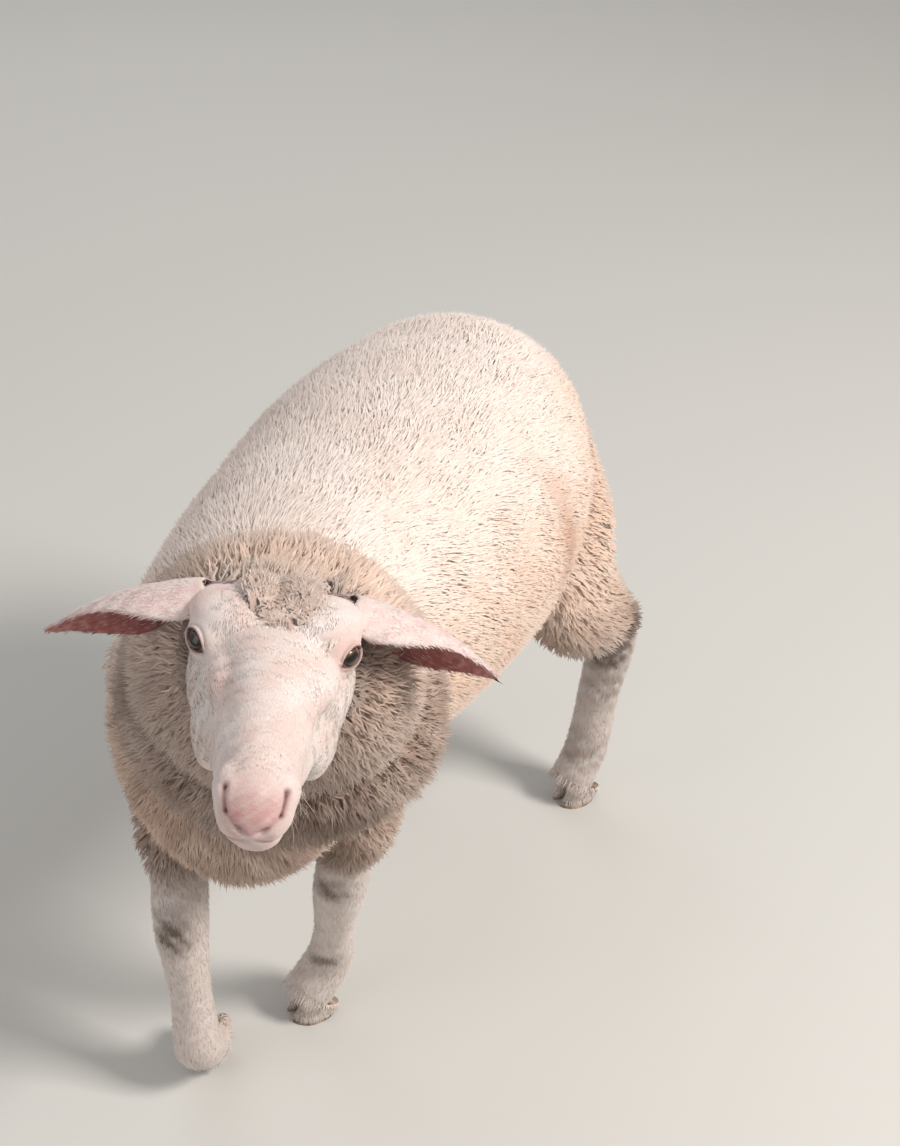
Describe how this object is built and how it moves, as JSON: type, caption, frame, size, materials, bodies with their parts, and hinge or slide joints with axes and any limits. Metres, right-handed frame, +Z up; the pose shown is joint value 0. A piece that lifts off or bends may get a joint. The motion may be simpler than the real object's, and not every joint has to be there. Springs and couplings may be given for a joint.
{
  "type": "shorn sheep",
  "caption": "Life-size shorn white-faced sheep standing in a slow step, head raised and turned to its left, with a deep wool collar left round the neck.",
  "frame": {"origin": "on the floor, under the middle of the bounding box", "axes": "+X to the sheep's left, -Y the way it walks and its head points, +Z up"},
  "size_m": [0.5268, 1.0752, 0.8297],
  "materials": {
    "fleece": "matt, dense short-shorn wool, cream with peach and brown in its depths",
    "face hair": "fine short white hair over pink skin, soft sheen",
    "ear skin": "thin hair outside, bare rosy skin inside",
    "leg hair": "short off-white hair with brown patches",
    "claw horn": "dull dark horn, worn and soiled",
    "eye": "wet, glossy, amber iris with a level dark pupil"
  },
  "bodies": {
    "root": {"claw_front_left_inner": "claw horn", "claw_front_left_outer": "claw horn", "claw_front_right_inner": "claw horn", "claw_front_right_outer": "claw horn", "claw_hind_left_inner": "claw horn", "claw_hind_left_outer": "claw horn", "claw_hind_right_inner": "claw horn", "claw_hind_right_outer": "claw horn", "ear_left": "ear skin", "ear_right": "ear skin", "eye_left": "eye", "eye_right": "eye", "head": "face hair", "leg_front_left": "leg hair", "leg_front_right": "leg hair", "leg_hind_left": "leg hair", "leg_hind_right": "leg hair", "neck": "fleece", "tail": "fleece", "trunk": "fleece"}
  },
  "joints": []
}
